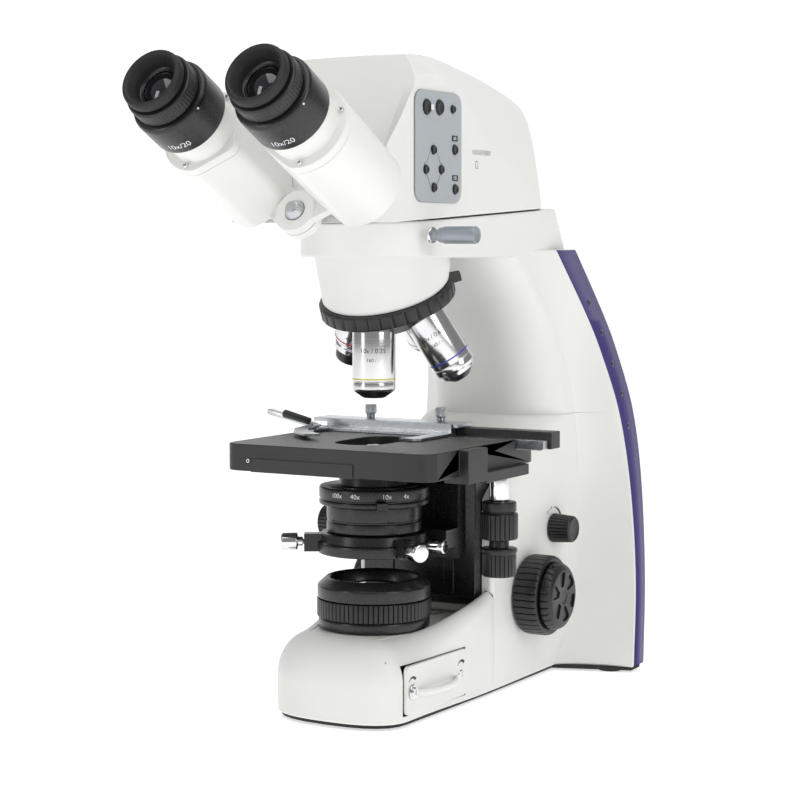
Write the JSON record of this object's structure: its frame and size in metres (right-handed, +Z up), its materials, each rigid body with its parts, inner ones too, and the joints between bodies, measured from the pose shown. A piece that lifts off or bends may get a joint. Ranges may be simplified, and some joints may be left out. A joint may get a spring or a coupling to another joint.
{
  "type": "digital compound microscope",
  "caption": "Upright compound microscope with inclined binocular tubes, camera head with side control panel, tilted nosepiece, mechanical stage, condenser and bowed stand.",
  "frame": {"origin": "on the table, at the middle of the bounding box's footprint", "axes": "+Z up, +X to the user's right, the eyepieces face -Y and the stand's back faces +Y"},
  "size_m": [0.1934, 0.4098, 0.392],
  "materials": {
    "white_paint": "satin",
    "white_housing": "satin",
    "black_metal": "satin",
    "black_plastic": "satin",
    "chrome": "polished",
    "grey_metal": "satin",
    "grey_panel": "satin",
    "indigo_strip": "satin",
    "clear_glass": "gloss",
    "base_rubber": "matte"
  },
  "bodies": {
    "stand": {"stand_lower": "white_paint", "stand_upper": "white_paint", "edge_strip_right": "indigo_strip", "edge_strip_left": "indigo_strip", "base_front": "white_paint", "base_plate": "base_rubber", "power_inlet": "black_plastic", "arm_head": "white_paint", "nosepiece_mount": "white_paint", "field_mount": "black_metal", "field_lens": "clear_glass", "head_body": "white_housing", "camera_block": "black_metal", "control_panel": "grey_panel"},
    "field_ring": {"field_ring": "black_metal"},
    "lamp_drawer": {"lamp_drawer": "white_paint"},
    "drawer_screw_front": {"drawer_screw_front": "chrome"},
    "drawer_screw_rear": {"drawer_screw_rear": "chrome"},
    "brightness_knob": {"brightness_knob": "black_plastic"},
    "head_clamp": {"head_clamp": "grey_metal"},
    "focus": {"focus_carrier": "black_metal"},
    "coarse_focus": {"coarse_focus": "black_plastic"},
    "fine_focus": {"fine_focus": "black_plastic"},
    "condenser": {"condenser_fork": "black_metal", "condenser_body": "black_metal", "condenser_lens": "clear_glass"},
    "condenser_knob": {"condenser_knob": "black_plastic"},
    "aperture_ring": {"aperture_ring": "black_metal"},
    "centring_screw_right": {"centring_screw_right": "chrome"},
    "centring_screw_left": {"centring_screw_left": "chrome"},
    "condenser_clamp": {"condenser_clamp": "chrome"},
    "stage": {"stage_plate": "black_metal", "x_guide": "black_metal"},
    "holder": {"x_carriage": "grey_metal", "slide_holder": "grey_metal"},
    "y_knob": {"y_knob": "black_plastic"},
    "x_knob": {"x_knob": "black_plastic"},
    "holder_lever": {"holder_lever": "grey_metal"},
    "thumbscrew_left": {"thumbscrew_left": "grey_metal"},
    "thumbscrew_right": {"thumbscrew_right": "grey_metal"},
    "nosepiece": {"nosepiece_turret": "black_metal", "objective_10x": "chrome", "objective_40x": "chrome", "objective_100x": "chrome", "objective_4x": "chrome"},
    "tube_right": {"tube_right": "white_paint", "eyepiece_right": "black_plastic"},
    "tube_left": {"tube_left": "white_paint", "eyepiece_left": "black_plastic"},
    "diopter_ring_right": {"diopter_ring_right": "black_plastic"},
    "diopter_ring_left": {"diopter_ring_left": "black_plastic"},
    "button_capture": {"button_capture": "black_plastic"},
    "button_record": {"button_record": "black_plastic"},
    "button_power": {"button_power": "black_plastic"},
    "button_up": {"button_up": "black_plastic"},
    "button_left": {"button_left": "black_plastic"},
    "button_right": {"button_right": "black_plastic"},
    "button_down": {"button_down": "black_plastic"},
    "button_menu": {"button_menu": "black_plastic"},
    "button_mode": {"button_mode": "black_plastic"}
  },
  "joints": [
    {"name": "focus_lift", "type": "slide", "parent": "stand", "child": "focus", "axis": [0, 0, 1], "range_m": [0, 0.016]},
    {"name": "coarse_turn", "type": "hinge", "parent": "stand", "child": "coarse_focus", "pos_m": [0, 0.0894, 0.0575], "axis": [-1, 0, 0], "range_deg": [0, 160]},
    {"name": "fine_turn", "type": "hinge", "parent": "coarse_focus", "child": "fine_focus", "pos_m": [0, 0.0894, 0.0575], "axis": [-1, 0, 0], "continuous": true},
    {"name": "condenser_lift", "type": "slide", "parent": "focus", "child": "condenser", "axis": [0, 0, 1], "range_m": [-0.012, 0]},
    {"name": "condenser_knob_turn", "type": "hinge", "parent": "focus", "child": "condenser_knob", "pos_m": [-0.0398, 0.0274, 0.104], "axis": [-1, 0, 0], "range_deg": [-144, 0]},
    {"name": "aperture_turn", "type": "hinge", "parent": "condenser", "child": "aperture_ring", "pos_m": [0, -0.0226, 0.1252], "axis": [0, 0, 1], "range_deg": [-50, 50]},
    {"name": "centring_turn_right", "type": "hinge", "parent": "condenser", "child": "centring_screw_right", "pos_m": [0, -0.0226, 0.102], "axis": [0.866, -0.5, 0], "range_deg": [-360, 360]},
    {"name": "centring_turn_left", "type": "hinge", "parent": "condenser", "child": "centring_screw_left", "pos_m": [0, -0.0226, 0.102], "axis": [-0.866, -0.5, 0], "range_deg": [-360, 360]},
    {"name": "condenser_clamp_turn", "type": "hinge", "parent": "condenser", "child": "condenser_clamp", "pos_m": [0, -0.0226, 0.102], "axis": [0.9994, 0.0349, 0], "range_deg": [0, 180]},
    {"name": "stage_y", "type": "slide", "parent": "focus", "child": "stage", "axis": [0, 1, 0], "range_m": [-0.015, 0.015]},
    {"name": "y_knob_turn", "type": "hinge", "parent": "stage", "child": "y_knob", "pos_m": [0.064, 0.0174, 0.1412], "axis": [0, 0, 1], "range_deg": [-172, 172]},
    {"name": "stage_x", "type": "slide", "parent": "stage", "child": "holder", "axis": [1, 0, 0], "range_m": [-0.028, 0.048]},
    {"name": "x_knob_turn", "type": "hinge", "parent": "stage", "child": "x_knob", "pos_m": [0.064, 0.0174, 0.1412], "axis": [0, 0, 1], "range_deg": [-321, 551]},
    {"name": "lever_swing", "type": "hinge", "parent": "holder", "child": "holder_lever", "pos_m": [-0.061, 0.0094, 0.1659], "axis": [0, 0, 1], "range_deg": [-25, 0], "stiffness_Nm_per_rad": 0.03, "springref_deg": 5.73},
    {"name": "thumbscrew_turn_left", "type": "hinge", "parent": "holder", "child": "thumbscrew_left", "pos_m": [-0.04, 0.0407, 0.1705], "axis": [0, 0, 1], "range_deg": [0, 720]},
    {"name": "thumbscrew_turn_right", "type": "hinge", "parent": "holder", "child": "thumbscrew_right", "pos_m": [0.011, 0.0407, 0.1705], "axis": [0, 0, 1], "range_deg": [0, 720]},
    {"name": "field_ring_turn", "type": "hinge", "parent": "stand", "child": "field_ring", "pos_m": [0, -0.0226, 0.0573], "axis": [0, 0, 1], "range_deg": [0, 90]},
    {"name": "nosepiece_turn", "type": "hinge", "parent": "stand", "child": "nosepiece", "pos_m": [0, -0.0226, 0.2848], "axis": [0, 0.3987, -0.9171], "continuous": true},
    {"name": "tube_swing_right", "type": "hinge", "parent": "stand", "child": "tube_right", "pos_m": [0, -0.20632, 0.35112], "axis": [0, -0.8829, 0.4695], "range_deg": [-20, 18]},
    {"name": "tube_swing_left", "type": "hinge", "parent": "stand", "child": "tube_left", "pos_m": [0, -0.20632, 0.35112], "axis": [0, -0.8829, 0.4695], "range_deg": [-18, 20]},
    {"name": "diopter_turn_right", "type": "hinge", "parent": "tube_right", "child": "diopter_ring_right", "pos_m": [0.033, -0.1974, 0.3679], "axis": [0, -0.8829, 0.4695], "range_deg": [-120, 120]},
    {"name": "diopter_turn_left", "type": "hinge", "parent": "tube_left", "child": "diopter_ring_left", "pos_m": [-0.033, -0.1974, 0.3679], "axis": [0, -0.8829, 0.4695], "range_deg": [-120, 120]},
    {"name": "brightness_turn", "type": "hinge", "parent": "stand", "child": "brightness_knob", "pos_m": [0.048, 0.1254, 0.0955], "axis": [1, 0, 0], "range_deg": [-270, 0]},
    {"name": "head_clamp_turn", "type": "hinge", "parent": "stand", "child": "head_clamp", "pos_m": [0.048, -0.0386, 0.2856], "axis": [1, 0, 0], "range_deg": [0, 360]},
    {"name": "lamp_drawer_slide", "type": "slide", "parent": "stand", "child": "lamp_drawer", "axis": [1, 0, 0], "range_m": [0, 0.04]},
    {"name": "drawer_screw_turn_front", "type": "hinge", "parent": "lamp_drawer", "child": "drawer_screw_front", "pos_m": [0.0462, -0.0556, 0.0215], "axis": [1, 0, 0], "range_deg": [0, 720]},
    {"name": "drawer_screw_turn_rear", "type": "hinge", "parent": "lamp_drawer", "child": "drawer_screw_rear", "pos_m": [0.0462, 0.0004, 0.0215], "axis": [1, 0, 0], "range_deg": [0, 720]},
    {"name": "press_capture", "type": "slide", "parent": "stand", "child": "button_capture", "axis": [-1, 0, 0], "range_m": [0, 0.0008], "stiffness_N_per_m": 400},
    {"name": "press_record", "type": "slide", "parent": "stand", "child": "button_record", "axis": [-1, 0, 0], "range_m": [0, 0.0008], "stiffness_N_per_m": 400},
    {"name": "press_power", "type": "slide", "parent": "stand", "child": "button_power", "axis": [-1, 0, 0], "range_m": [0, 0.0008], "stiffness_N_per_m": 400},
    {"name": "press_up", "type": "slide", "parent": "stand", "child": "button_up", "axis": [-1, 0, 0], "range_m": [0, 0.0008], "stiffness_N_per_m": 400},
    {"name": "press_left", "type": "slide", "parent": "stand", "child": "button_left", "axis": [-1, 0, 0], "range_m": [0, 0.0008], "stiffness_N_per_m": 400},
    {"name": "press_right", "type": "slide", "parent": "stand", "child": "button_right", "axis": [-1, 0, 0], "range_m": [0, 0.0008], "stiffness_N_per_m": 400},
    {"name": "press_down", "type": "slide", "parent": "stand", "child": "button_down", "axis": [-1, 0, 0], "range_m": [0, 0.0008], "stiffness_N_per_m": 400},
    {"name": "press_menu", "type": "slide", "parent": "stand", "child": "button_menu", "axis": [-1, 0, 0], "range_m": [0, 0.0008], "stiffness_N_per_m": 400},
    {"name": "press_mode", "type": "slide", "parent": "stand", "child": "button_mode", "axis": [-1, 0, 0], "range_m": [0, 0.0008], "stiffness_N_per_m": 400}
  ],
  "couplings": [
    {"joint": "coarse_turn", "follows": "focus_lift", "rad_per_m": 139.6},
    {"joint": "condenser_knob_turn", "follows": "condenser_lift", "rad_per_m": 209},
    {"joint": "y_knob_turn", "follows": "stage_y", "rad_per_m": 200},
    {"joint": "x_knob_turn", "follows": "stage_x", "rad_per_m": 200},
    {"joint": "tube_swing_left", "follows": "tube_swing_right", "ratio": -1}
  ]
}
